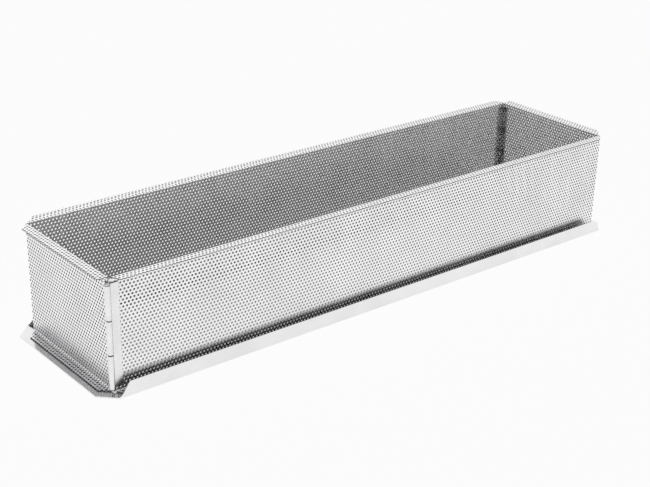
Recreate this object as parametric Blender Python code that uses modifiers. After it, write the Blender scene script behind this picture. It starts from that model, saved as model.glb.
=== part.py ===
"""Hinged bread mould: two perforated L-shaped wall halves, pinned at two corners, that run in
the folded rails of a flat base. Metres, +Z up, X along the mould, origin under its middle.

The walls are perforated sheet. Its thousands of small round holes are drawn here as a coarse
staggered grid of openings that takes nearly the same share of each wall.
"""

import math

import bmesh
import bpy
from mathutils import Matrix

# Walls: two identical L-shaped halves of one folded sheet each
WALL_LENGTH = 0.495  # outside, along X
WALL_WIDTH = 0.118  # outside, along Y
WALL_HEIGHT = 0.0871  # underside of the foot flange to the top of the rim
WALL_SHEET = 0.0008
CORNER_RADIUS = 0.0022  # outside of the bent corner
FLANGE_BEND_RADIUS = 0.0011  # middle of the sheet
RIM_FLANGE = 0.0074  # how far the rim stands out from the wall
FOOT_FLANGE = 0.0076  # how far the foot stands out from the wall
BENT_CORNER_SLANT = 1.15  # length lost along the wall for each unit out, at the bent corner
FOOT_END_SLANT = 1.0  # the same for the foot at a pinned corner
RIM_END_SLANT = 0.6  # the same for the long wall's rim at a pinned corner
RIM_END_INSET = 0.0010  # from a pinned corner to the long wall's rim

# Openings: a staggered grid that stands for the perforation
OPENING_DIAMETER = 0.0155
OPENING_ROWS = 5
LONG_WALL_COLUMNS = 12
END_WALL_COLUMNS = 3
OPENING_MARGIN = 0.0160  # from a wall's end to the middle of the first opening
OPENING_SIDES = 12
PLUG_LENGTH = 0.0060  # of the cutter, through the sheet

# Base: one sheet with its long edges folded up and in over the feet
BASE_SHEET = 0.0010
BASE_END_MARGIN = 0.0125  # base beyond each end wall
RAIL_LEAN = math.radians(20.0)  # how far the rail leans in from upright
RAIL_LENGTH = 0.0082  # straight part of the folded edge
RAIL_BEND_RADIUS = 0.0013  # middle of the sheet
CORNER_CUT_START = 0.0040  # from the end wall's corner, along Y, to the 45-degree cut

# Hinges at the front left and back right corners
HINGE_SHEET = 0.0007
PIN_DIAMETER = 0.0024
WALL_LEAF_WIDTH = 0.0070  # along the long wall
END_LEAF_WIDTH = 0.0052  # along the end wall
HINGE_FOOT_SETBACK = 0.0050  # from the underside of the foot to the lowest knuckle
HINGE_RIM_SETBACK = 0.0045  # from the top of the rim to the highest knuckle
KNUCKLE_COUNT = 3
CURL_ANGLE = math.radians(290.0)

# Pins: straight, with a low domed head on the highest knuckle
PIN_HEAD_DIAMETER = 0.0042
PIN_HEAD_HEIGHT = 0.0016
PIN_HEAD_EDGE = 0.0005  # straight side of the head below its dome
PIN_TIP_REACH = 0.0012  # below the lowest knuckle
PIN_CHAMFER = 0.0004  # at the tip

# Fits
CONTACT_GAP = 0.0003  # between sheets that lie on each other
PIN_CLEARANCE = 0.0001  # radial, pin to knuckle
KNUCKLE_GAP = 0.0005  # along the pin, between neighbouring knuckles
FOOT_CLEARANCE = 0.0006  # foot's edge to the rail
NOTCH_GAP = 0.0003  # from the mould's corner line to a leaf's notch

BEND_STEPS = 4
KNUCKLE_STEPS = 18
PIN_SIDES = 24
HEAD_STEPS = 5

HALF_LENGTH = WALL_LENGTH / 2
HALF_WIDTH = WALL_WIDTH / 2
FOOT_Z = BASE_SHEET + CONTACT_GAP
RIM_Z = FOOT_Z + WALL_HEIGHT
KNUCKLE_RADIUS = PIN_DIAMETER / 2 + PIN_CLEARANCE + HINGE_SHEET / 2  # middle of the sheet
LEAF_OFFSET = CONTACT_GAP + HINGE_SHEET / 2  # wall face to the middle of a leaf
PIN_OFFSET = LEAF_OFFSET + KNUCKLE_RADIUS  # wall faces to the pin's axis
WALL_BOTTOM = FOOT_Z + WALL_SHEET / 2 + FLANGE_BEND_RADIUS  # flat part of the walls
WALL_TOP = RIM_Z - WALL_SHEET / 2 - FLANGE_BEND_RADIUS
HINGE_BOTTOM = FOOT_Z + HINGE_FOOT_SETBACK
HINGE_TOP = RIM_Z - HINGE_RIM_SETBACK


def clear_scene():
    """Removes whatever the scene holds, with its meshes, curves and materials."""
    for item in list(bpy.data.objects):
        bpy.data.objects.remove(item, do_unlink=True)
    for store in (bpy.data.meshes, bpy.data.curves, bpy.data.materials):
        for block in list(store):
            store.remove(block)
    for group in list(bpy.data.collections):
        bpy.data.collections.remove(group)


def steel(name, colour, roughness):
    """A metal finish."""
    material = bpy.data.materials.new(name)
    material.use_nodes = True
    shader = material.node_tree.nodes["Principled BSDF"]
    shader.inputs["Base Color"].default_value = (*colour, 1.0)
    shader.inputs["Metallic"].default_value = 1.0
    shader.inputs["Roughness"].default_value = roughness
    return material


def arc(centre, radius, start, end, steps):
    """Points on an arc, from the start angle to the end angle, both in radians."""
    points = []
    for step in range(steps + 1):
        angle = start + (end - start) * step / steps
        points.append((centre[0] + radius * math.cos(angle), centre[1] + radius * math.sin(angle)))
    return points


def add_strip(bm, first_row, second_row):
    """Joins two rows of points with four-sided faces."""
    for index in range(len(first_row) - 1):
        corners = (first_row[index], first_row[index + 1], second_row[index + 1], second_row[index])
        bm.faces.new([bm.verts.new(corner) for corner in corners])


def sheet_object(name, bm, thickness, material, collection):
    """Makes an object of an open surface, with the sheet's thickness half on each side."""
    bmesh.ops.remove_doubles(bm, verts=bm.verts, dist=1e-6)
    bmesh.ops.recalc_face_normals(bm, faces=bm.faces)
    mesh = bpy.data.meshes.new(name)
    bm.to_mesh(mesh)
    bm.free()
    mesh.materials.append(material)
    mesh.shade_smooth()
    mesh.set_sharp_from_angle(angle=math.radians(30.0))
    item = bpy.data.objects.new(name, mesh)
    collection.objects.link(item)
    solidify = item.modifiers.new("sheet_thickness", "SOLIDIFY")
    solidify.thickness = thickness
    solidify.offset = 0.0
    solidify.use_even_offset = True
    return item


def flange_profile(reach, level, direction):
    """(out, z) points of a bent flange, from the wall to the flange's edge.

    out is the distance of the sheet's middle from the wall's; direction is 1 for the rim, whose
    bend lies below the flange, and -1 for the foot.
    """
    centre = (FLANGE_BEND_RADIUS, level - direction * FLANGE_BEND_RADIUS)
    bend = arc(centre, FLANGE_BEND_RADIUS, math.pi, math.pi - direction * math.pi / 2, BEND_STEPS)
    return bend + [(reach + WALL_SHEET / 2, level)]


def flanges():
    """The rim's and the foot's profiles, with how each one's pinned ends are cut.

    Each entry is (profile, inset on the long wall, slant on the long wall, slant on the end wall).
    """
    rim = flange_profile(RIM_FLANGE, RIM_Z - WALL_SHEET / 2, 1)
    foot = flange_profile(FOOT_FLANGE, FOOT_Z + WALL_SHEET / 2, -1)
    return (
        (rim, RIM_END_INSET, RIM_END_SLANT, 0.0),
        (foot, 0.0, FOOT_END_SLANT, FOOT_END_SLANT),
    )


def wall_half(name, material, collection):
    """The front wall and right end wall, bent from one sheet, with the pinned ends free."""
    middle_x = HALF_LENGTH - WALL_SHEET / 2
    middle_y = -HALF_WIDTH + WALL_SHEET / 2
    bend_x = HALF_LENGTH - CORNER_RADIUS
    bend_y = -HALF_WIDTH + CORNER_RADIUS
    long_end_x = -HALF_LENGTH
    short_end_y = HALF_WIDTH - WALL_SHEET - CONTACT_GAP
    bm = bmesh.new()

    plan = [(long_end_x, middle_y)]
    plan += arc((bend_x, bend_y), CORNER_RADIUS - WALL_SHEET / 2, -math.pi / 2, 0.0, 2 * BEND_STEPS)
    plan += [(middle_x, short_end_y)]
    add_strip(bm, [(x, y, WALL_BOTTOM) for x, y in plan], [(x, y, WALL_TOP) for x, y in plan])

    for profile, long_inset, long_slant, short_slant in flanges():
        long_rows = []
        short_rows = []
        for out, level in profile:
            long_free = long_end_x + long_inset + long_slant * out
            short_free = short_end_y - short_slant * out
            if out == profile[0][0]:
                long_free = long_end_x
                short_free = short_end_y
            bent = BENT_CORNER_SLANT * out
            long_rows.append([(long_free, middle_y - out, level), (bend_x - bent, middle_y - out, level)])
            short_rows.append([(middle_x + out, bend_y + bent, level), (middle_x + out, short_free, level)])
        for rows in (long_rows, short_rows):
            for inner, outer in zip(rows, rows[1:]):
                add_strip(bm, inner, outer)
    return sheet_object(name, bm, WALL_SHEET, material, collection)


def opening_places(length, columns):
    """(distance along the wall, level) of each opening in a wall, every second row half a step on."""
    column_step = (length - 2 * OPENING_MARGIN) / (columns - 0.5)
    row_step = (WALL_TOP - WALL_BOTTOM) / OPENING_ROWS
    places = []
    for row in range(OPENING_ROWS):
        shift = column_step / 2 * (row % 2)
        for column in range(columns):
            along = OPENING_MARGIN + shift + column * column_step
            places.append((along, WALL_BOTTOM + (row + 0.5) * row_step))
    return places


def opening_cutter(name, collection):
    """The plugs that punch the openings of the front wall and the right end wall."""
    across_front = Matrix.Rotation(math.pi / 2, 4, "X")
    across_end = Matrix.Rotation(math.pi / 2, 4, "Y")
    matrices = []
    for along, level in opening_places(WALL_LENGTH, LONG_WALL_COLUMNS):
        matrices.append(Matrix.Translation((along - HALF_LENGTH, -HALF_WIDTH, level)) @ across_front)
    for along, level in opening_places(WALL_WIDTH, END_WALL_COLUMNS):
        matrices.append(Matrix.Translation((HALF_LENGTH, along - HALF_WIDTH, level)) @ across_end)
    bm = bmesh.new()
    for matrix in matrices:
        bmesh.ops.create_cone(bm, cap_ends=True, segments=OPENING_SIDES, radius1=OPENING_DIAMETER / 2,
                              radius2=OPENING_DIAMETER / 2, depth=PLUG_LENGTH, matrix=matrix)
    mesh = bpy.data.meshes.new(name)
    bm.to_mesh(mesh)
    bm.free()
    cutter = bpy.data.objects.new(name, mesh)
    cutter.hide_render = True
    cutter.display_type = "WIRE"
    collection.objects.link(cutter)
    return cutter


def punch(shell, cutter):
    """Cuts a shell's openings."""
    openings = shell.modifiers.new("openings", "BOOLEAN")
    openings.operation = "DIFFERENCE"
    openings.object = cutter
    openings.solver = "EXACT"


def base_profile():
    """(y, z, distance along the sheet) points from the middle of the base to the rail's edge."""
    level = BASE_SHEET / 2
    foot_edge = HALF_WIDTH + FOOT_FLANGE
    rail_face = foot_edge + FOOT_CLEARANCE + BASE_SHEET / 2
    bend_centre = (rail_face - RAIL_BEND_RADIUS, level + RAIL_BEND_RADIUS)
    points = [(0.0, level, 0.0)]
    cut_start = HALF_WIDTH - CORNER_CUT_START
    points.append((cut_start, level, cut_start))
    bend = arc(bend_centre, RAIL_BEND_RADIUS, -math.pi / 2, RAIL_LEAN, 2 * BEND_STEPS)
    bend_length = RAIL_BEND_RADIUS * (math.pi / 2 + RAIL_LEAN)
    for index, (y, z) in enumerate(bend):
        points.append((y, z, bend_centre[0] + bend_length * index / (len(bend) - 1)))
    top_y = bend[-1][0] - RAIL_LENGTH * math.sin(RAIL_LEAN)
    top_z = bend[-1][1] + RAIL_LENGTH * math.cos(RAIL_LEAN)
    points.append((top_y, top_z, points[-1][2] + RAIL_LENGTH))
    return points


def base_plate(material, collection):
    """The base: a blank with four 45-degree corner cuts, its long edges folded into rails."""
    base_end = HALF_LENGTH + BASE_END_MARGIN
    rows = []
    for y, z, along in base_profile():
        cut = max(0.0, along - (HALF_WIDTH - CORNER_CUT_START))
        rows.append([(-base_end + cut, y, z), (base_end - cut, y, z)])
    bm = bmesh.new()
    for side in (1, -1):
        mirrored = [[(x, side * y, z) for x, y, z in row] for row in rows]
        for inner, outer in zip(mirrored, mirrored[1:]):
            add_strip(bm, inner, outer)
    return sheet_object("base_plate", bm, BASE_SHEET, material, collection)


def knuckle_levels():
    """(bottom, top) of each knuckle, lowest first."""
    pitch = (HINGE_TOP - HINGE_BOTTOM) / KNUCKLE_COUNT
    levels = []
    for index in range(KNUCKLE_COUNT):
        bottom = HINGE_BOTTOM + index * pitch + (KNUCKLE_GAP / 2 if index > 0 else 0.0)
        top = HINGE_BOTTOM + (index + 1) * pitch - (KNUCKLE_GAP / 2 if index < KNUCKLE_COUNT - 1 else 0.0)
        levels.append((bottom, top))
    return levels


def hinge_leaf(name, width, owned, swap, material, collection):
    """A leaf on the outside of one wall at the front left corner, rolled round the pin.

    owned holds the indices of this leaf's knuckles. The leaf lies along the front wall, or along
    the left end wall where swap is true.
    """
    flat_out = -LEAF_OFFSET
    start = math.pi / 2
    roll = arc((-PIN_OFFSET, -PIN_OFFSET), KNUCKLE_RADIUS, start, start + CURL_ANGLE, KNUCKLE_STEPS)
    rolled_path = [(NOTCH_GAP, flat_out)] + roll
    levels = knuckle_levels()
    edges = [HINGE_BOTTOM]
    for index in owned:
        edges += [level for level in levels[index] if HINGE_BOTTOM < level < HINGE_TOP]
    edges = sorted(edges + [HINGE_TOP])

    def place(point, level):
        """A point of the leaf's plan as a point of the mould."""
        along, out = point
        x, y = (out, along) if swap else (along, out)
        return (x - HALF_LENGTH, y - HALF_WIDTH, level)

    bm = bmesh.new()
    flat = [(width, flat_out), (NOTCH_GAP, flat_out)]
    for bottom, top in zip(edges, edges[1:]):
        add_strip(bm, [place(p, bottom) for p in flat], [place(p, top) for p in flat])
    for index in owned:
        bottom, top = levels[index]
        add_strip(bm, [place(p, bottom) for p in rolled_path], [place(p, top) for p in rolled_path])
    return sheet_object(name, bm, HINGE_SHEET, material, collection)


def pin_profile():
    """(radius, level) points down the outside of a pin, from the top of its head to its tip."""
    shank = PIN_DIAMETER / 2
    head = PIN_HEAD_DIAMETER / 2
    seat = HINGE_TOP + CONTACT_GAP
    dome = PIN_HEAD_HEIGHT - PIN_HEAD_EDGE
    tip = HINGE_BOTTOM - PIN_TIP_REACH
    profile = []
    for step in range(HEAD_STEPS + 1):
        angle = math.pi / 2 * (1 - step / HEAD_STEPS)
        profile.append((head * math.cos(angle), seat + PIN_HEAD_EDGE + dome * math.sin(angle)))
    profile += [(head, seat), (shank, seat), (shank, tip + PIN_CHAMFER)]
    profile += [(shank - PIN_CHAMFER, tip), (0.0, tip)]
    return profile


def hinge_pin(name, material, collection):
    """A turned pin in the front left corner's knuckles."""
    levels = pin_profile()
    edges = [(index, index + 1) for index in range(len(levels) - 1)]
    mesh = bpy.data.meshes.new(name)
    mesh.from_pydata([(radius, 0.0, level) for radius, level in levels], edges, [])
    mesh.materials.append(material)
    item = bpy.data.objects.new(name, mesh)
    item.location = (-HALF_LENGTH - PIN_OFFSET, -HALF_WIDTH - PIN_OFFSET, 0.0)
    collection.objects.link(item)
    turning = item.modifiers.new("turning", "SCREW")
    turning.steps = PIN_SIDES
    turning.render_steps = PIN_SIDES
    turning.use_merge_vertices = True
    turning.merge_threshold = 0.000001
    turning.use_smooth_shade = True
    return item


def axis_empty(name, location, collection):
    """An empty that stands on a joint's axis."""
    empty = bpy.data.objects.new(name, None)
    empty.location = location
    empty.empty_display_size = 0.02
    collection.objects.link(empty)
    return empty


def hold(pieces, empty):
    """Parents pieces to an empty and leaves them where they are."""
    bpy.context.view_layer.update()
    for piece in pieces:
        piece.parent = empty
        piece.matrix_parent_inverse = empty.matrix_world.inverted()


def turn_to_rear(pieces):
    """Turns pieces half round the mould's middle, from the front left to the back right."""
    for piece in pieces:
        piece.location = (-piece.location.x, -piece.location.y, piece.location.z)
        piece.rotation_euler = (0.0, 0.0, math.pi)


def main():
    """Builds the mould's nine pieces."""
    clear_scene()
    collection = bpy.data.collections.new("hinged_bread_mould")
    bpy.context.scene.collection.children.link(collection)
    cutters = bpy.data.collections.new("cutters")
    bpy.context.scene.collection.children.link(cutters)
    wall_steel = steel("perforated_sheet_steel", (0.56, 0.56, 0.57), 0.42)
    base_steel = steel("plain_sheet_steel", (0.66, 0.66, 0.67), 0.28)
    hinge_steel = steel("hinge_steel", (0.62, 0.62, 0.63), 0.35)
    pin_steel = steel("pin_wire", (0.60, 0.60, 0.61), 0.25)

    base = base_plate(base_steel, collection)
    front_shell = wall_half("front_half_shell", wall_steel, collection)
    rear_shell = wall_half("rear_half_shell", wall_steel, collection)
    front_cutter = opening_cutter("front_half_openings", cutters)
    rear_cutter = opening_cutter("rear_half_openings", cutters)
    punch(front_shell, front_cutter)
    punch(rear_shell, rear_cutter)

    wall_knuckles = range(0, KNUCKLE_COUNT, 2)
    end_knuckles = range(1, KNUCKLE_COUNT, 2)
    corners = {}
    for corner in ("front_left", "back_right"):
        wall_leaf = hinge_leaf(corner + "_hinge_wall_leaf", WALL_LEAF_WIDTH, wall_knuckles, False,
                               hinge_steel, collection)
        end_leaf = hinge_leaf(corner + "_hinge_end_leaf", END_LEAF_WIDTH, end_knuckles, True,
                              hinge_steel, collection)
        pin = hinge_pin(corner + "_hinge_pin", pin_steel, collection)
        corners[corner] = (wall_leaf, end_leaf, pin)
    turn_to_rear((rear_shell, rear_cutter, *corners["back_right"]))

    front_left_axis = (-HALF_LENGTH - PIN_OFFSET, -HALF_WIDTH - PIN_OFFSET, HINGE_BOTTOM)
    back_right_axis = (HALF_LENGTH + PIN_OFFSET, HALF_WIDTH + PIN_OFFSET, HINGE_BOTTOM)
    hold((base,), axis_empty("base_slide", (0.0, 0.0, FOOT_Z), collection))
    hold((front_shell, corners["front_left"][0], corners["back_right"][1]),
         axis_empty("front_half", (0.0, -HALF_WIDTH, FOOT_Z), collection))
    hold((rear_shell, corners["front_left"][1], corners["back_right"][0]),
         axis_empty("rear_half_slide", (0.0, HALF_WIDTH, FOOT_Z), collection))
    hold((corners["front_left"][2],), axis_empty("front_left_pin_pull", front_left_axis, collection))
    hold((corners["back_right"][2],), axis_empty("back_right_pin_pull", back_right_axis, collection))


main()
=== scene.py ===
"""The looks of a hinged, perforated bread mould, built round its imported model.

Two L-shaped halves of punched sheet steel stand in the folded rails of a glossy base and are
pinned together at two corners. Metres, +Z up, X along the mould, origin under its middle.
"""

import logging
import math
from dataclasses import dataclass
from enum import Enum
from typing import Union

import bmesh
import bpy
import numpy as np
from mathutils import Euler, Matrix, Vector


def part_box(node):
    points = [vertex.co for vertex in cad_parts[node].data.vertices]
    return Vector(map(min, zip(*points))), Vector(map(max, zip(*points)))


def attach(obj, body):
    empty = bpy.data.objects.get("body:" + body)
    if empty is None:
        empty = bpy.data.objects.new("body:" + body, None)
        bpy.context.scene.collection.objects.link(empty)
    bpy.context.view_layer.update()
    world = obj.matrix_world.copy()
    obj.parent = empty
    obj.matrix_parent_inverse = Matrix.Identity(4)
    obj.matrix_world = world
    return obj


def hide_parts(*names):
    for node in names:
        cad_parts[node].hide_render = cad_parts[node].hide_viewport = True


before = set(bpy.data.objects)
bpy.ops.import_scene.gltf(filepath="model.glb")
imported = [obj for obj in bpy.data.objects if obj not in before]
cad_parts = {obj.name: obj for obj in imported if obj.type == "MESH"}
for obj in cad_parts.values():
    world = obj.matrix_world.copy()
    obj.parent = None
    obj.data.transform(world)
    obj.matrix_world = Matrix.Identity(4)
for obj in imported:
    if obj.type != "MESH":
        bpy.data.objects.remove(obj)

LOG = logging.getLogger("bread_mould")
QUARTER_TURN = math.pi / 2
ROW_SHARE = math.sqrt(3.0) / 2
MERGE_DISTANCE = 2e-6
CUT_DISTANCE = 1e-7
SMOOTH_ANGLE = math.radians(35.0)
BREAK_ANGLE = math.radians(50.0)

Operand = Union[bpy.types.NodeSocket, float]
Point = tuple[float, float, float]


class Corner(Enum):
    """The pinned corners. Each value is the corner's name and the half turns that reach it."""

    FRONT_LEFT = ("front_left", 0)
    BACK_RIGHT = ("back_right", 1)

    @property
    def label(self) -> str:
        """The corner's name in the frame's nodes."""
        return self.value[0]

    @property
    def sign(self) -> int:
        """What X and Y are multiplied by to go there from the front left corner."""
        return -1 if self.value[1] else 1


class Grain(Enum):
    """The way that a surface's fine lines run, as the share of the grain's length along X, Y and Z."""

    LEVEL = (1.0, 1.0, 0.0)
    ALONG = (1.0, 0.0, 0.0)
    UPRIGHT = (0.0, 0.0, 1.0)


def maths(tree: bpy.types.NodeTree, operation: str, first: Operand,
          second: Operand) -> bpy.types.NodeSocket:
    """Adds a Math node to a tree.

    Args:
        tree: The tree.
        operation: What the node does.
        first: Its first operand, a socket or a number.
        second: Its second.

    Returns:
        Its result.
    """
    node = tree.nodes.new("ShaderNodeMath")
    node.operation = operation
    for socket, value in zip(node.inputs, (first, second)):
        if isinstance(value, bpy.types.NodeSocket):
            tree.links.new(value, socket)
        else:
            socket.default_value = value
    return node.outputs[0]


@dataclass(frozen=True)
class SteelFinish:
    """Bare steel: its tone and gloss, and the lines and clouds that rolling and use leave on it.

    A noise mostly keeps to noise_span, and the sum of two noises to sum_span.
    """

    name: str
    slot: str
    tone: tuple[float, float, float]
    roughness: float
    grain: Grain
    tone_spread: float = 0.10
    roughness_spread: float = 0.10
    cloud_size: float = 0.030
    grain_length: float = 0.012
    grain_width: float = 0.00025
    grain_depth: float = 0.000004
    bump_strength: float = 0.25
    line_detail: float = 2.0
    cloud_detail: float = 4.0
    noise_span: tuple[float, float] = (0.3, 0.7)
    sum_span: tuple[float, float] = (0.7, 1.3)

    def make(self) -> bpy.types.Material:
        """Builds the material.

        Returns:
            A Principled steel on Object coordinates.
        """
        material = bpy.data.materials.new(self.name)
        material.use_nodes = True
        tree = material.node_tree
        nodes, links = tree.nodes, tree.links
        shader = nodes["Principled BSDF"]
        shader.inputs["Metallic"].default_value = 1.0
        place = nodes.new("ShaderNodeTexCoord")
        mapping = nodes.new("ShaderNodeMapping")
        mapping.vector_type = "POINT"
        scale = [1.0 / (self.grain_length if share else self.grain_width) for share in self.grain.value]
        mapping.inputs["Scale"].default_value = scale
        links.new(place.outputs["Object"], mapping.inputs["Vector"])

        lines = nodes.new("ShaderNodeTexNoise")
        lines.inputs["Scale"].default_value = 1.0
        lines.inputs["Detail"].default_value = self.line_detail
        links.new(mapping.outputs["Vector"], lines.inputs["Vector"])
        clouds = nodes.new("ShaderNodeTexNoise")
        clouds.inputs["Scale"].default_value = 1.0 / self.cloud_size
        clouds.inputs["Detail"].default_value = self.cloud_detail
        links.new(place.outputs["Object"], clouds.inputs["Vector"])

        gloss = nodes.new("ShaderNodeMapRange")
        gloss.inputs["From Min"].default_value, gloss.inputs["From Max"].default_value = self.sum_span
        gloss.inputs["To Min"].default_value = self.roughness - self.roughness_spread / 2
        gloss.inputs["To Max"].default_value = self.roughness + self.roughness_spread / 2
        both = maths(tree, "ADD", lines.outputs["Fac"], clouds.outputs["Fac"])
        links.new(both, gloss.inputs["Value"])
        links.new(gloss.outputs["Result"], shader.inputs["Roughness"])

        tint = nodes.new("ShaderNodeValToRGB")
        low, high = tint.color_ramp.elements
        low.position, high.position = self.noise_span
        low.color = (*[channel * (1.0 - self.tone_spread / 2) for channel in self.tone], 1.0)
        high.color = (*[channel * (1.0 + self.tone_spread / 2) for channel in self.tone], 1.0)
        links.new(clouds.outputs["Fac"], tint.inputs["Fac"])
        links.new(tint.outputs["Color"], shader.inputs["Base Color"])

        bump = nodes.new("ShaderNodeBump")
        bump.inputs["Strength"].default_value = self.bump_strength
        bump.inputs["Distance"].default_value = self.grain_depth
        links.new(lines.outputs["Fac"], bump.inputs["Height"])
        links.new(bump.outputs["Normal"], shader.inputs["Normal"])
        return material


WALL_FINISH = SteelFinish("punched_sheet_steel", "wall_sheet", (0.94, 0.94, 0.95), 0.32, Grain.LEVEL)
BASE_FINISH = SteelFinish("bright_base_steel", "base_sheet", (0.82, 0.82, 0.83), 0.16, Grain.ALONG,
                          roughness_spread=0.06, grain_length=0.060, bump_strength=0.15)
LEAF_FINISH = SteelFinish("hinge_leaf_steel", "hinge_sheet", (0.86, 0.86, 0.87), 0.30, Grain.UPRIGHT,
                          cloud_size=0.012)
PIN_FINISH = SteelFinish("drawn_wire_steel", "pin_wire", (0.45, 0.45, 0.46), 0.28, Grain.UPRIGHT,
                         cloud_size=0.006, grain_length=0.020, grain_width=0.00012)
# Dark steel on the hole walls and cut edges: painted shade inside the punched holes and along the sheet's
# edges, with a rough sheared finish.
EDGE_SHADE_FINISH = SteelFinish("painted_shade_edge_steel", "wall_sheet", (0.22, 0.22, 0.23), 0.50, Grain.UPRIGHT,
                          tone_spread=0.3, cloud_size=0.004)
WELD_FINISH = SteelFinish("spot_weld_steel", "hinge_sheet", (0.16, 0.15, 0.14), 0.45, Grain.LEVEL,
                          tone_spread=0.5, cloud_size=0.0015)


def flat_arc(centre: tuple[float, float], radius: float, start: float, end: float,
             steps: int) -> list[tuple[float, float]]:
    """Points on an arc.

    Args:
        centre: The arc's centre.
        radius: Its radius.
        start: The first point's angle, in radians.
        end: The last point's angle, in radians.
        steps: How many chords it has.

    Returns:
        steps + 1 points, from start to end.
    """
    points = []
    for step in range(steps + 1):
        angle = start + (end - start) * step / steps
        points.append((centre[0] + radius * math.cos(angle), centre[1] + radius * math.sin(angle)))
    return points


def link_mesh(name: str, mesh: bpy.types.Mesh) -> bpy.types.Object:
    """Puts a mesh in the scene as an object at the origin."""
    item = bpy.data.objects.new(name, mesh)
    bpy.context.scene.collection.objects.link(item)
    return item


def mesh_of(name: str, bm: bmesh.types.BMesh) -> bpy.types.Mesh:
    """Turns a bmesh into a mesh and frees it."""
    mesh = bpy.data.meshes.new(name)
    bm.to_mesh(mesh)
    bm.free()
    return mesh


def sheet_of(name: str, quads: list[tuple[Point, Point, Point, Point]]) -> bpy.types.Mesh:
    """Joins four-sided faces into one sheet that faces one way.

    Args:
        name: The mesh's name.
        quads: The corners of each face.

    Returns:
        The sheet, with no thickness yet.
    """
    bm = bmesh.new()
    for corners in quads:
        bm.faces.new([bm.verts.new(corner) for corner in corners])
    bmesh.ops.remove_doubles(bm, verts=bm.verts, dist=MERGE_DISTANCE)
    bmesh.ops.recalc_face_normals(bm, faces=bm.faces)
    return mesh_of(name, bm)


def plain_mesh(item: bpy.types.Object) -> bpy.types.Mesh:
    """Evaluates an object's modifiers into a new mesh.

    Args:
        item: The object. It is removed.

    Returns:
        The finished mesh, without modifiers.
    """
    bpy.context.view_layer.update()
    depsgraph = bpy.context.evaluated_depsgraph_get()
    mesh = bpy.data.meshes.new_from_object(item.evaluated_get(depsgraph))
    bpy.data.objects.remove(item, do_unlink=True)
    return mesh


def soften(mesh: bpy.types.Mesh) -> None:
    """Shades a mesh smooth, with its sharp edges kept sharp."""
    mesh.shade_smooth()
    mesh.set_sharp_from_angle(angle=SMOOTH_ANGLE)


def turn_mesh(mesh: bpy.types.Mesh, sign: int) -> None:
    """Turns a mesh half round about Z where sign is -1, and leaves it where sign is 1."""
    coordinates = np.empty(len(mesh.vertices) * 3)
    mesh.vertices.foreach_get("co", coordinates)
    coordinates = coordinates.reshape(-1, 3) * (sign, sign, 1.0)
    mesh.vertices.foreach_set("co", coordinates.ravel())
    mesh.update()


def thicken(name: str, mesh: bpy.types.Mesh, sheet: float, edge: float) -> bpy.types.Mesh:
    """Gives an open sheet its thickness, half on each side, and breaks its sharp edges.

    The faces take the first of the piece's materials and the cut edges take the second.

    Args:
        name: The name of the finished mesh.
        mesh: The middle surface.
        sheet: The thickness.
        edge: The width of the broken edges, or 0 for none.

    Returns:
        A closed mesh.
    """
    for _ in range(2):
        mesh.materials.append(None)
    item = link_mesh(name, mesh)
    solidify = item.modifiers.new("sheet", "SOLIDIFY")
    solidify.material_offset_rim = 1
    solidify.thickness = sheet
    solidify.offset = 0.0
    solidify.use_even_offset = True
    if edge > 0.0:
        bevel = item.modifiers.new("broken_edges", "BEVEL")
        bevel.width = edge
        bevel.segments = 1
        bevel.limit_method = "ANGLE"
        bevel.angle_limit = BREAK_ANGLE
    finished = plain_mesh(item)
    finished.name = name
    soften(finished)
    return finished


def show_piece(name: str, mesh: bpy.types.Mesh, materials: tuple[bpy.types.Material, ...],
               body: str, nodes: tuple[str, ...] = ()) -> bpy.types.Object:
    """Makes a finished piece that rides on a body.

    Args:
        name: The piece's name.
        mesh: Its mesh, in the frame's own coordinates.
        materials: Its finishes, by the number that its faces carry.
        body: The body that it moves with.
        nodes: The frame's nodes that it stands for.

    Returns:
        The piece.
    """
    mesh.name = name
    numbers = np.zeros(len(mesh.polygons), dtype=np.int32)
    mesh.polygons.foreach_get("material_index", numbers)
    mesh.materials.clear()
    for material in materials:
        mesh.materials.append(material)
    mesh.polygons.foreach_set("material_index", numbers)
    piece = link_mesh(name, mesh)
    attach(piece, body)
    if nodes:
        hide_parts(*nodes)
    LOG.info("%s rides on %s with %d faces", name, body, len(mesh.polygons))
    return piece


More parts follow.
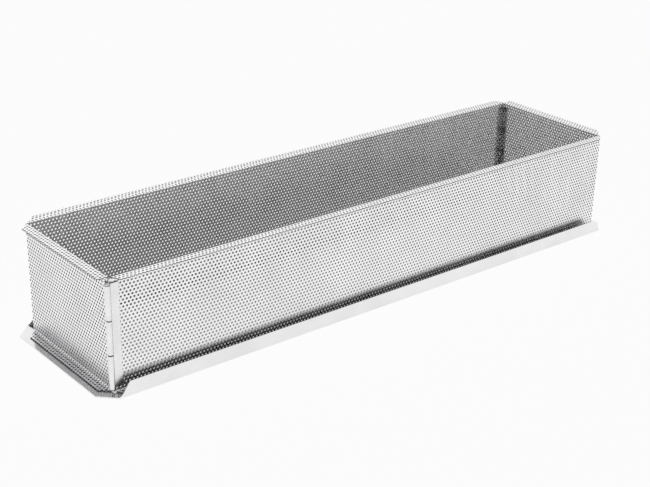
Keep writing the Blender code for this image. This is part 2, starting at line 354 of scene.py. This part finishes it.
@dataclass(frozen=True)
class PunchPattern:
    """Round holes on a field of equal triangles, punched by a Geometry Nodes tree."""

    pitch: float = 0.0030
    hole_diameter: float = 0.00175
    hole_sides: int = 10
    cell_sides: int = 6
    spare_cells: int = 2
    first_hole: tuple[float, float] = (0.00874, 0.0066)

    @property
    def row_step(self) -> float:
        """From one row of holes to the next."""
        return self.pitch * ROW_SHARE

    def tree(self) -> bpy.types.NodeTree:
        """Builds the tree that lays out the sheet's web, one six-sided cell round each hole.

        Returns:
            A Geometry Nodes tree with named inputs for its sizes.
        """
        tree = bpy.data.node_groups.new("punched_web", "GeometryNodeTree")
        for label, kind in (("Columns", "Int"), ("Rows", "Int"), ("Pitch", "Float"),
                            ("Hole Diameter", "Float"), ("Hole Sides", "Int"), ("First Cell", "Vector"),
                            ("Steel", "Material")):
            tree.interface.new_socket(label, in_out="INPUT", socket_type="NodeSocket" + kind)
        tree.interface.new_socket("Web", in_out="OUTPUT", socket_type="NodeSocketGeometry")
        nodes, links = tree.nodes, tree.links
        inputs = nodes.new("NodeGroupInput").outputs

        index = nodes.new("GeometryNodeInputIndex").outputs[0]
        row = maths(tree, "FLOOR", maths(tree, "DIVIDE", index, inputs["Columns"]), 0.0)
        column = maths(tree, "MODULO", index, inputs["Columns"])
        shift = maths(tree, "MULTIPLY", maths(tree, "MODULO", row, 2.0), 0.5)
        along = maths(tree, "MULTIPLY", maths(tree, "ADD", column, shift), inputs["Pitch"])
        up = maths(tree, "MULTIPLY", maths(tree, "MULTIPLY", row, inputs["Pitch"]), ROW_SHARE)
        offset = nodes.new("ShaderNodeCombineXYZ")
        links.new(along, offset.inputs["X"])
        links.new(up, offset.inputs["Y"])
        place = nodes.new("ShaderNodeVectorMath")
        links.new(inputs["First Cell"], place.inputs[0])
        links.new(offset.outputs[0], place.inputs[1])
        points = nodes.new("GeometryNodePoints")
        links.new(maths(tree, "MULTIPLY", inputs["Columns"], inputs["Rows"]), points.inputs["Count"])
        links.new(place.outputs[0], points.inputs["Position"])

        cell = nodes.new("GeometryNodeCurvePrimitiveCircle")
        cell.inputs["Resolution"].default_value = self.cell_sides
        links.new(maths(tree, "DIVIDE", inputs["Pitch"], math.sqrt(3.0)), cell.inputs["Radius"])
        turned = nodes.new("GeometryNodeTransform")
        turned.inputs["Rotation"].default_value = (0.0, 0.0, math.pi / self.cell_sides)
        links.new(cell.outputs["Curve"], turned.inputs["Geometry"])
        hole = nodes.new("GeometryNodeCurvePrimitiveCircle")
        links.new(inputs["Hole Sides"], hole.inputs["Resolution"])
        links.new(maths(tree, "DIVIDE", inputs["Hole Diameter"], 2.0), hole.inputs["Radius"])
        outlines = nodes.new("GeometryNodeJoinGeometry")
        links.new(turned.outputs[0], outlines.inputs[0])
        links.new(hole.outputs["Curve"], outlines.inputs[0])
        fill = nodes.new("GeometryNodeFillCurve")
        fill.mode = "TRIANGLES"
        links.new(outlines.outputs[0], fill.inputs["Curve"])

        spread = nodes.new("GeometryNodeInstanceOnPoints")
        links.new(points.outputs[0], spread.inputs["Points"])
        links.new(fill.outputs[0], spread.inputs["Instance"])
        realize = nodes.new("GeometryNodeRealizeInstances")
        links.new(spread.outputs[0], realize.inputs[0])
        merge = nodes.new("GeometryNodeMergeByDistance")
        merge.inputs["Distance"].default_value = MERGE_DISTANCE
        links.new(realize.outputs[0], merge.inputs["Geometry"])
        coat = nodes.new("GeometryNodeSetMaterial")
        links.new(merge.outputs[0], coat.inputs["Geometry"])
        links.new(inputs["Steel"], coat.inputs["Material"])
        links.new(coat.outputs[0], nodes.new("NodeGroupOutput").inputs[0])
        return tree

    def web(self, low: tuple[float, float], high: tuple[float, float],
            steel: bpy.types.Material) -> bpy.types.Mesh:
        """Lays out flat punched sheet over a rectangle, with whole cells that overhang its edges.

        Args:
            low: The rectangle's lowest corner.
            high: Its highest corner.
            steel: The sheet's finish.

        Returns:
            A flat mesh in the XY plane, with a row of cells centred on first_hole.
        """
        left = math.ceil((self.first_hole[0] - low[0]) / self.pitch) + 1
        row_pairs = math.ceil((self.first_hole[1] - low[1]) / self.row_step / 2 + 0.5)
        origin = (self.first_hole[0] - left * self.pitch,
                  self.first_hole[1] - 2 * row_pairs * self.row_step, 0.0)
        values = {
            "Columns": math.ceil((high[0] - origin[0]) / self.pitch) + self.spare_cells,
            "Rows": math.ceil((high[1] - origin[1]) / self.row_step) + self.spare_cells,
            "Pitch": self.pitch,
            "Hole Diameter": self.hole_diameter,
            "Hole Sides": self.hole_sides,
            "First Cell": origin,
            "Steel": steel,
        }
        item = link_mesh("web", bpy.data.meshes.new("web"))
        modifier = item.modifiers.new("punch", "NODES")
        modifier.node_group = self.tree()
        for socket in modifier.node_group.interface.items_tree:
            if socket.in_out == "INPUT":
                modifier[socket.identifier] = values[socket.name]
        return plain_mesh(item)


@dataclass(frozen=True)
class WallHalf:
    """One L-shaped half: a punched blank with a foot, a rim and one bent corner.

    On the flat blank s runs along the walls from the pinned end of the long one, and t runs up
    them from the foot's bend. Both follow the middle of the sheet.
    """

    half_length: float
    half_width: float
    foot_z: float
    rim_z: float
    rim_reach: float
    short_end_y: float
    foot_reach: float = 0.0076
    sheet: float = 0.0008
    corner_radius: float = 0.0022
    bend_radius: float = 0.0011
    bent_corner_slant: float = 1.15
    foot_end_slant: float = 1.0
    rim_end_slant: float = 0.6
    rim_end_inset: float = 0.0010
    bend_steps: int = 4
    end_window: float = 0.030
    long_wall_pieces: int = 3
    seam_from_corner: float = 0.010

    @classmethod
    def from_frame(cls) -> "WallHalf":
        """Reads the sizes of the front half from its node's box."""
        low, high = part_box("front_half_shell")
        half_length = -low[0]
        rim_reach = high[0] - half_length
        return cls(half_length=half_length, half_width=-low[1] - rim_reach, foot_z=low[2], rim_z=high[2],
                   rim_reach=rim_reach, short_end_y=high[1])

    @property
    def corner_middle(self) -> float:
        """The bent corner's radius, at the middle of the sheet."""
        return self.corner_radius - self.sheet / 2

    @property
    def corner_start(self) -> float:
        """Where the corner's bend starts, along s."""
        return 2 * self.half_length - self.corner_radius

    @property
    def corner_end(self) -> float:
        """Where the corner's bend ends, along s."""
        return self.corner_start + self.corner_middle * QUARTER_TURN

    @property
    def blank_end(self) -> float:
        """The end wall's free end, along s."""
        return self.corner_end + self.short_end_y + self.half_width - self.corner_radius

    @property
    def wall_bottom(self) -> float:
        """The height of the foot's bend, where t is 0."""
        return self.foot_z + self.sheet / 2 + self.bend_radius

    @property
    def wall_rise(self) -> float:
        """The flat wall between its two bends, along t."""
        return self.rim_z - self.sheet / 2 - self.bend_radius - self.wall_bottom

    def seams(self, pattern: PunchPattern) -> list[float]:
        """Finds where the blank is parted into sections, along s.

        Args:
            pattern: The sheet's holes.

        Returns:
            The places, each through the middle of a column of holes.
        """
        count = self.long_wall_pieces
        wanted = [self.corner_start * (index + 1) / count for index in range(count)]
        wanted[-1] -= self.seam_from_corner
        first = pattern.first_hole[0]
        return [first + round((place - first) / pattern.pitch) * pattern.pitch for place in wanted]

    def flange_flat(self, reach: float) -> float:
        """How far a flange goes on the blank, from its bend's start to its edge."""
        return self.bend_radius * QUARTER_TURN + reach + self.sheet / 2 - self.bend_radius

    def flange_end(self, bm: bmesh.types.BMesh, upper: bool, near: float, start: float, slope: float,
                   keep: int) -> None:
        """Cuts one end of a flange.

        Args:
            bm: The blank.
            upper: True for the rim, False for the foot.
            near: The middle, along s, of the stretch that may lose faces.
            start: Where the cut meets the flange's bend, along s.
            slope: How much s grows for each unit that the cut goes out on the blank.
            keep: 1 keeps the side with the larger s, -1 the other.
        """
        edge_t = self.wall_rise if upper else 0.0
        out = 1.0 if upper else -1.0

        def in_flange(face: bmesh.types.BMFace) -> bool:
            """Whether a face lies in this flange, near this end."""
            centre = face.calc_center_median()
            return (centre.y - edge_t) * out > 0.0 and abs(centre.x - near) < self.end_window

        faces = [face for face in bm.faces if in_flange(face)]
        edges = {edge for face in faces for edge in face.edges}
        verts = {vert for face in faces for vert in face.verts}
        direction = Vector((slope, out, 0.0))
        normal = Vector((direction.y, -direction.x, 0.0)).normalized() * out
        point = Vector((start, edge_t, 0.0))
        bmesh.ops.bisect_plane(bm, geom=[*faces, *edges, *verts], dist=CUT_DISTANCE, plane_co=point,
                               plane_no=normal)
        wrong = []
        for face in bm.faces:
            if in_flange(face) and (face.calc_center_median() - point).dot(normal) * keep < 0.0:
                wrong.append(face)
        bmesh.ops.delete(bm, geom=wrong, context="FACES")

    def blank(self, pattern: PunchPattern, steel: bpy.types.Material) -> bmesh.types.BMesh:
        """Cuts the blank out of punched sheet and scores it along its bends.

        Args:
            pattern: The sheet's holes.
            steel: The sheet's finish.

        Returns:
            The flat blank.
        """
        foot = self.flange_flat(self.foot_reach)
        rim = self.flange_flat(self.rim_reach)
        low, high = (0.0, -foot), (self.blank_end, self.wall_rise + rim)
        bm = bmesh.new()
        bm.from_mesh(pattern.web(low, high, steel))
        cuts = [(low[0], 0.0, -1.0, 0.0, True), (high[0], 0.0, 1.0, 0.0, True),
                (0.0, low[1], 0.0, -1.0, True), (0.0, high[1], 0.0, 1.0, True)]
        bend = self.bend_radius * QUARTER_TURN
        for step in range(self.bend_steps + 1):
            share = step / self.bend_steps
            cuts.append((0.0, -bend * share, 0.0, 1.0, False))
            cuts.append((0.0, self.wall_rise + bend * share, 0.0, 1.0, False))
        for step in range(2 * self.bend_steps + 1):
            share = step / self.bend_steps / 2
            along = self.corner_start + (self.corner_end - self.corner_start) * share
            cuts.append((along, 0.0, 1.0, 0.0, False))
        cuts += [(seam, 0.0, 1.0, 0.0, False) for seam in self.seams(pattern)]
        for x, y, normal_x, normal_y, outline in cuts:
            bmesh.ops.bisect_plane(bm, geom=[*bm.verts, *bm.edges, *bm.faces], dist=CUT_DISTANCE,
                                   plane_co=(x, y, 0.0), plane_no=(normal_x, normal_y, 0.0),
                                   clear_outer=outline)
        self.trim_flanges(bm)
        bmesh.ops.remove_doubles(bm, verts=bm.verts, dist=MERGE_DISTANCE)
        # The web's faces carry the number of its own steel; 0 makes them the finished sheet's faces.
        for face in bm.faces:
            face.material_index = 0
        return bm

    def trim_flanges(self, bm: bmesh.types.BMesh) -> None:
        """Cuts the ends of the rim and the foot at the bent corner and at both free ends."""
        foot_slant = self.foot_reach / self.flange_flat(self.foot_reach)
        rim_slant = self.rim_reach / self.flange_flat(self.rim_reach)
        for upper, share in ((False, foot_slant), (True, rim_slant)):
            bent = self.bent_corner_slant * share
            self.flange_end(bm, upper, self.corner_end - self.end_window, self.corner_start, -bent, -1)
            self.flange_end(bm, upper, self.corner_end + self.end_window, self.corner_end, bent, 1)
        pinned = self.foot_end_slant * foot_slant
        self.flange_end(bm, False, 0.0, 0.0, pinned, 1)
        self.flange_end(bm, False, self.blank_end, self.blank_end, -pinned, -1)
        self.flange_end(bm, True, 0.0, self.rim_end_inset, self.rim_end_slant * rim_slant, 1)

    def fold(self, flat: np.ndarray) -> np.ndarray:
        """Folds points of the blank into the front half.

        Args:
            flat: (s, t) of each point.

        Returns:
            (x, y, z) of each point.
        """
        s, t = flat[:, 0], flat[:, 1]
        radius = self.bend_radius
        over = np.maximum(t - self.wall_rise, 0.0) + np.maximum(-t, 0.0)
        angle = np.minimum(over / radius, QUARTER_TURN)
        straight = np.maximum(over - radius * QUARTER_TURN, 0.0)
        out = radius * (1.0 - np.cos(angle)) + straight
        rise = radius * np.sin(angle)
        z = self.wall_bottom + np.clip(t, 0.0, self.wall_rise) + np.where(t > 0.0, rise, -rise)

        middle_x = self.half_length - self.sheet / 2
        middle_y = -self.half_width + self.sheet / 2
        bend_x = self.half_length - self.corner_radius
        bend_y = -self.half_width + self.corner_radius
        turn = np.clip((s - self.corner_start) / self.corner_middle, 0.0, QUARTER_TURN)
        reach = self.corner_middle + out
        x = np.where(s < self.corner_start, s - self.half_length, bend_x + reach * np.sin(turn))
        y = np.where(s < self.corner_start, middle_y - out, bend_y - reach * np.cos(turn))
        beyond = s > self.corner_end
        x = np.where(beyond, middle_x + out, x)
        y = np.where(beyond, bend_y + (s - self.corner_end), y)
        return np.stack([x, y, z], axis=1)

    def sections(self, pattern: PunchPattern,
                 steel: bpy.types.Material) -> list[tuple[str, bpy.types.Mesh]]:
        """Makes the front half in sections, each a closed mesh small enough to handle.

        Args:
            pattern: The sheet's holes.
            steel: The sheet's finish.

        Returns:
            (name, mesh) of each section, from the long wall's pinned end on.
        """
        bm = self.blank(pattern, steel)
        limits = self.seams(pattern)
        names = [f"long_wall_{index + 1}" for index in range(self.long_wall_pieces)] + ["end_wall"]
        made = []
        for index, name in enumerate(names):
            lowest = limits[index - 1] if index > 0 else -math.inf
            highest = limits[index] if index < len(limits) else math.inf
            part = bm.copy()
            outside = [face for face in part.faces if not lowest <= face.calc_center_median().x < highest]
            bmesh.ops.delete(part, geom=outside, context="FACES")
            mesh = mesh_of(name, part)
            flat = np.empty(len(mesh.vertices) * 3)
            mesh.vertices.foreach_get("co", flat)
            mesh.vertices.foreach_set("co", self.fold(flat.reshape(-1, 3)[:, :2]).ravel())
            mesh.update()
            made.append((name, thicken(name, mesh, self.sheet, 0.0)))
        bm.free()
        return made

    def dress(self, pattern: PunchPattern, finish: SteelFinish, edge_shade_finish: SteelFinish) -> None:
        """Shows both halves, the rear one being the front one turned half round.

        Args:
            pattern: The sheet's holes.
            finish: The sheet's finish.
            edge_shade_finish: The dark finish of its punched and cut edges, painted shade inside the
                holes and along the edges.
        """
        # The second material paints shade onto the hole walls and cut edges.
        steel, painted_shade_steel = finish.make(), edge_shade_finish.make()
        for name, mesh in self.sections(pattern, steel):
            for body, sign in (("front_half", 1), ("rear_half", -1)):
                copy = mesh.copy()
                turn_mesh(copy, sign)
                show_piece(f"{body}_{name}", copy, (steel, painted_shade_steel), body, (body + "_shell",))
            bpy.data.meshes.remove(mesh)


@dataclass(frozen=True)
class BaseSheet:
    """The base: a glossy blank with cut corners, its long edges folded up and in as rails.

    The corners' cuts start cut_inset inside the walls' outer face.
    """

    end_x: float
    cut_start: float
    rail_outside: float
    cut_inset: float = 0.0040
    sheet: float = 0.0010
    bend_radius: float = 0.0013
    lean: float = math.radians(20.0)
    rail: float = 0.0082
    edge: float = 0.00012
    bend_steps: int = 12

    @classmethod
    def from_frame(cls) -> "BaseSheet":
        """Reads the base's outline from its node's box and the walls' corner from theirs."""
        low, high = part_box("base_plate")
        wall_low, wall_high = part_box("front_half_shell")
        rim_reach = wall_high[0] + wall_low[0]
        cut_start = -wall_low[1] - rim_reach - cls.cut_inset
        return cls(end_x=high[0], cut_start=cut_start, rail_outside=high[1])

    def profile(self) -> list[tuple[float, float, float]]:
        """The middle of the sheet, from the base's middle to the rail's edge.

        Returns:
            (y, z, distance along the sheet) of each point.
        """
        level = self.sheet / 2
        centre = (self.rail_outside - self.sheet / 2 - self.bend_radius, level + self.bend_radius)
        points = [(0.0, level, 0.0), (self.cut_start, level, self.cut_start)]
        bend = flat_arc(centre, self.bend_radius, -QUARTER_TURN, self.lean, self.bend_steps)
        length = self.bend_radius * (QUARTER_TURN + self.lean)
        for index, (y, z) in enumerate(bend):
            points.append((y, z, centre[0] + length * index / self.bend_steps))
        y, z, along = points[-1]
        points.append((y - self.rail * math.sin(self.lean), z + self.rail * math.cos(self.lean),
                       along + self.rail))
        return points

    def dress(self, finish: SteelFinish) -> None:
        """Shows the base in a finish."""
        rows = []
        for y, z, along in self.profile():
            cut = max(0.0, along - self.cut_start)
            rows.append((self.end_x - cut, y, z))
        quads = []
        for side in (1, -1):
            for (x_in, y_in, z_in), (x_out, y_out, z_out) in zip(rows, rows[1:]):
                quads.append(((-x_in, side * y_in, z_in), (x_in, side * y_in, z_in),
                              (x_out, side * y_out, z_out), (-x_out, side * y_out, z_out)))
        finished = thicken("base_sheet", sheet_of("base_sheet", quads), self.sheet, self.edge)
        steel = finish.make()
        show_piece("base_sheet", finished, (steel, steel), "base", ("base_plate",))


@dataclass(frozen=True)
class CornerHinge:
    """A pinned corner: two leaves rolled round a straight pin with a low domed head."""

    corner: Corner
    wall_x: float
    wall_y: float
    bottom: float
    top: float
    rim_z: float
    sheet: float = 0.0007
    pin_diameter: float = 0.0024
    pin_clearance: float = 0.0001
    contact_gap: float = 0.0003
    notch_gap: float = 0.0003
    knuckle_gap: float = 0.0009
    knuckles: int = 3
    wall_leaf_width: float = 0.0070
    end_leaf_width: float = 0.0052
    curl: float = math.radians(290.0)
    curl_steps: int = 30
    edge: float = 0.00008
    wall_sheet: float = 0.0008
    weld_count: int = 4
    weld_pitch: float = 0.0205
    weld_from_rim: float = 0.0064
    weld_from_corner: float = 0.0034
    weld_profile: tuple[tuple[float, float], ...] = (
        (0.0010, 0.00002), (0.0014, 0.00020), (0.0018, 0.00022), (0.0021, -0.00004), (0.0021, -0.00020))
    weld_sides: int = 24

    @classmethod
    def from_frame(cls, corner: Corner) -> "CornerHinge":
        """Reads the hinge's height and the walls' corner from the nodes' boxes."""
        low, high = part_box("front_half_shell")
        rim_reach = high[0] + low[0]
        leaf_low, leaf_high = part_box("front_left_hinge_wall_leaf")
        return cls(corner=corner, wall_x=low[0], wall_y=low[1] + rim_reach, bottom=leaf_low[2],
                   top=leaf_high[2], rim_z=high[2])

    @property
    def roll_radius(self) -> float:
        """The knuckles' radius, at the middle of the sheet."""
        return self.pin_diameter / 2 + self.pin_clearance + self.sheet / 2

    @property
    def leaf_out(self) -> float:
        """From the wall's face to the middle of a leaf."""
        return self.contact_gap + self.sheet / 2

    @property
    def pin_out(self) -> float:
        """From each wall's face to the pin's axis."""
        return self.leaf_out + self.roll_radius

    def levels(self) -> list[tuple[float, float]]:
        """(bottom, top) of each knuckle, lowest first."""
        pitch = (self.top - self.bottom) / self.knuckles
        made = []
        for index in range(self.knuckles):
            low = self.bottom + index * pitch + (self.knuckle_gap / 2 if index else 0.0)
            high = self.bottom + (index + 1) * pitch
            high -= self.knuckle_gap / 2 if index < self.knuckles - 1 else 0.0
            made.append((low, high))
        return made

    def leaf(self, name: str, width: float, first: int, along_end: bool) -> bpy.types.Mesh:
        """Makes a leaf with every second knuckle rolled from it.

        Args:
            name: The mesh's name.
            width: How far the leaf lies along its wall.
            first: The index of its lowest knuckle.
            along_end: True for the end wall's leaf, False for the long wall's.

        Returns:
            A closed mesh at this corner.
        """
        levels = self.levels()[first::2]
        axis = (-self.pin_out, -self.pin_out)
        roll = flat_arc(axis, self.roll_radius, QUARTER_TURN, QUARTER_TURN + self.curl, self.curl_steps)
        rolled = [(self.notch_gap, -self.leaf_out)] + roll
        flat = [(width, -self.leaf_out), (self.notch_gap, -self.leaf_out)]
        edges = sorted({self.bottom, self.top, *[level for pair in levels for level in pair]})

        def corner_point(point: tuple[float, float], z: float) -> Point:
            """A point of the leaf's plan as a point of the front left corner."""
            x, y = (point[1], point[0]) if along_end else point
            return (self.wall_x + x, self.wall_y + y, z)

        strips = [(flat, low, high) for low, high in zip(edges, edges[1:])]
        strips += [(rolled, low, high) for low, high in levels]
        quads = []
        for path, low, high in strips:
            for start, end in zip(path, path[1:]):
                quads.append((corner_point(start, low), corner_point(end, low),
                              corner_point(end, high), corner_point(start, high)))
        finished = thicken(name, sheet_of(name, quads), self.sheet, self.edge)
        turn_mesh(finished, self.corner.sign)
        return finished

    def welds(self) -> bpy.types.Mesh:
        """Makes the spot welds' round marks on the inside of the end wall."""
        bm = bmesh.new()
        for index in range(self.weld_count):
            place = Vector((self.wall_x + self.wall_sheet, self.wall_y + self.weld_from_corner,
                            self.rim_z - self.weld_from_rim - index * self.weld_pitch))
            rings = []
            for radius, rise in self.weld_profile:
                ring = []
                for step in range(self.weld_sides):
                    angle = 2 * math.pi * step / self.weld_sides
                    offset = Vector((rise, radius * math.cos(angle), radius * math.sin(angle)))
                    ring.append(bm.verts.new(place + offset))
                rings.append(ring)
            for inner, outer in zip(rings, rings[1:]):
                for step in range(self.weld_sides):
                    after = (step + 1) % self.weld_sides
                    bm.faces.new((inner[step], inner[after], outer[after], outer[step]))
            bm.faces.new(rings[0])
            bm.faces.new(rings[-1])
        bmesh.ops.recalc_face_normals(bm, faces=bm.faces)
        mesh = mesh_of("welds", bm)
        turn_mesh(mesh, self.corner.sign)
        soften(mesh)
        return mesh

    def dress(self, leaf_finish: SteelFinish, pin_finish: SteelFinish, edge_shade_finish: SteelFinish,
              weld_finish: SteelFinish) -> None:
        """Shows the corner's leaves and welds, and keeps its pin's node.

        Args:
            leaf_finish: The leaves' finish.
            pin_finish: The pin's.
            edge_shade_finish: The dark finish of the leaves' cut edges, painted shade along them.
            weld_finish: The welds'.
        """
        label = self.corner.label
        bodies = ("front_half", "rear_half")
        wall_body, end_body = bodies if self.corner is Corner.FRONT_LEFT else reversed(bodies)
        # The second material paints shade onto the leaves' cut edges.
        steel, painted_shade_steel = leaf_finish.make(), edge_shade_finish.make()
        show_piece(f"{label}_weld_marks", self.welds(), (weld_finish.make(),), end_body)
        for name, width, first, along_end, body in (
                ("wall_leaf", self.wall_leaf_width, 0, False, wall_body),
                ("end_leaf", self.end_leaf_width, 1, True, end_body)):
            mesh = self.leaf(f"{label}_{name}", width, first, along_end)
            show_piece(f"{label}_{name}", mesh, (steel, painted_shade_steel), body,
                       (f"{label}_hinge_{name}",))
        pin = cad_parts[f"{label}_hinge_pin"]
        pin.data.materials.clear()
        pin.data.materials.append(pin_finish.make())
        LOG.info("%s_hinge_pin is the frame's own node in a new finish", label)


@dataclass(frozen=True)
class Studio:
    """A pale floor, soft light and the photograph's camera."""

    camera_place: Point = (-0.6391, -0.7588, 0.4593)
    camera_turn: Point = (66.480, -1.095, -38.967)
    lens: float = 73.36
    floor_size: float = 8.0
    floor_white: float = 0.86
    floor_roughness: float = 0.9
    floor_glow: float = 0.96
    first_reflection: float = 1.0
    dimming: float = 0.60
    sky_light: float = 0.25
    key_place: Point = (-1.3, -1.3, 0.45)
    key_size: tuple[float, float] = (0.8, 0.6)
    key_power: float = 5.0

    def background_share(self, tree: bpy.types.NodeTree) -> bpy.types.NodeSocket:
        """Measures how much of the white background a ray shows.

        Args:
            tree: The floor's or the world's nodes.

        Returns:
            A socket that is 1 for the camera and the metal's first reflections, less for each
            reflection after that, and 0 for the rest.
        """
        rays = tree.nodes.new("ShaderNodeLightPath").outputs
        later = maths(tree, "SUBTRACT", rays["Glossy Depth"], self.first_reflection)
        fading = maths(tree, "POWER", self.dimming, maths(tree, "MULTIPLY", later, later))
        mirrored = maths(tree, "MULTIPLY", fading, rays["Is Glossy Ray"])
        return maths(tree, "MAXIMUM", mirrored, rays["Is Camera Ray"])

    def floor(self) -> None:
        """A white floor that keeps the object's shadow and shows white to camera and metal."""
        mesh = bpy.data.meshes.new("floor")
        half = self.floor_size / 2
        corners = [(-half, -half, 0.0), (half, -half, 0.0), (half, half, 0.0), (-half, half, 0.0)]
        mesh.from_pydata(corners, [], [(0, 1, 2, 3)])
        floor = link_mesh("floor", mesh)
        material = bpy.data.materials.new("pale_floor")
        material.use_nodes = True
        tree = material.node_tree
        nodes, links = tree.nodes, tree.links
        shader = nodes["Principled BSDF"]
        shader.inputs["Base Color"].default_value = (*[self.floor_white] * 3, 1.0)
        shader.inputs["Roughness"].default_value = self.floor_roughness
        glow = nodes.new("ShaderNodeEmission")
        mix = nodes.new("ShaderNodeMixShader")
        share = maths(tree, "MULTIPLY", self.background_share(tree), self.floor_glow)
        links.new(share, mix.inputs["Fac"])
        links.new(shader.outputs[0], mix.inputs[1])
        links.new(glow.outputs[0], mix.inputs[2])
        links.new(mix.outputs[0], nodes["Material Output"].inputs["Surface"])
        mesh.materials.append(material)

    def world(self) -> None:
        """A world that is white to the camera and to metal, and a soft light to all else."""
        world = bpy.data.worlds.new("soft_white")
        world.use_nodes = True
        tree = world.node_tree
        sky = tree.nodes["Background"]
        sky.inputs["Color"].default_value = (1.0, 1.0, 1.0, 1.0)
        rays = tree.nodes.new("ShaderNodeLightPath").outputs
        plain = maths(tree, "MULTIPLY", rays["Is Diffuse Ray"], self.sky_light)
        strength = maths(tree, "MAXIMUM", self.background_share(tree), plain)
        tree.links.new(strength, sky.inputs["Strength"])
        bpy.context.scene.world = world

    def key_lamp(self) -> None:
        """A soft lamp, low at the front left, that faces the object."""
        data = bpy.data.lights.new("key", "AREA")
        data.shape = "RECTANGLE"
        data.size, data.size_y = self.key_size
        data.energy = self.key_power
        lamp = bpy.data.objects.new("key", data)
        lamp.location = self.key_place
        lamp.rotation_euler = (-Vector(self.key_place)).to_track_quat("-Z", "Y").to_euler()
        bpy.context.scene.collection.objects.link(lamp)

    def camera(self) -> None:
        """The photograph's viewpoint."""
        data = bpy.data.cameras.new("camera")
        data.lens = self.lens
        camera = bpy.data.objects.new("camera", data)
        camera.location = self.camera_place
        camera.rotation_euler = Euler([math.radians(angle) for angle in self.camera_turn])
        bpy.context.scene.collection.objects.link(camera)
        bpy.context.scene.camera = camera

    def build(self) -> None:
        """Sets up the floor, the light and the camera."""
        self.floor()
        self.world()
        self.key_lamp()
        self.camera()
        bpy.context.scene.view_settings.view_transform = "Standard"


def main() -> None:
    """Builds the studio and the mould's pieces in order."""
    logging.basicConfig(level=logging.INFO, format="%(message)s")
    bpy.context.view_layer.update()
    Studio().build()
    BaseSheet.from_frame().dress(BASE_FINISH)
    WallHalf.from_frame().dress(PunchPattern(), WALL_FINISH, EDGE_SHADE_FINISH)
    for corner in Corner:
        CornerHinge.from_frame(corner).dress(LEAF_FINISH, PIN_FINISH, EDGE_SHADE_FINISH, WELD_FINISH)


if __name__ == "__main__":
    main()
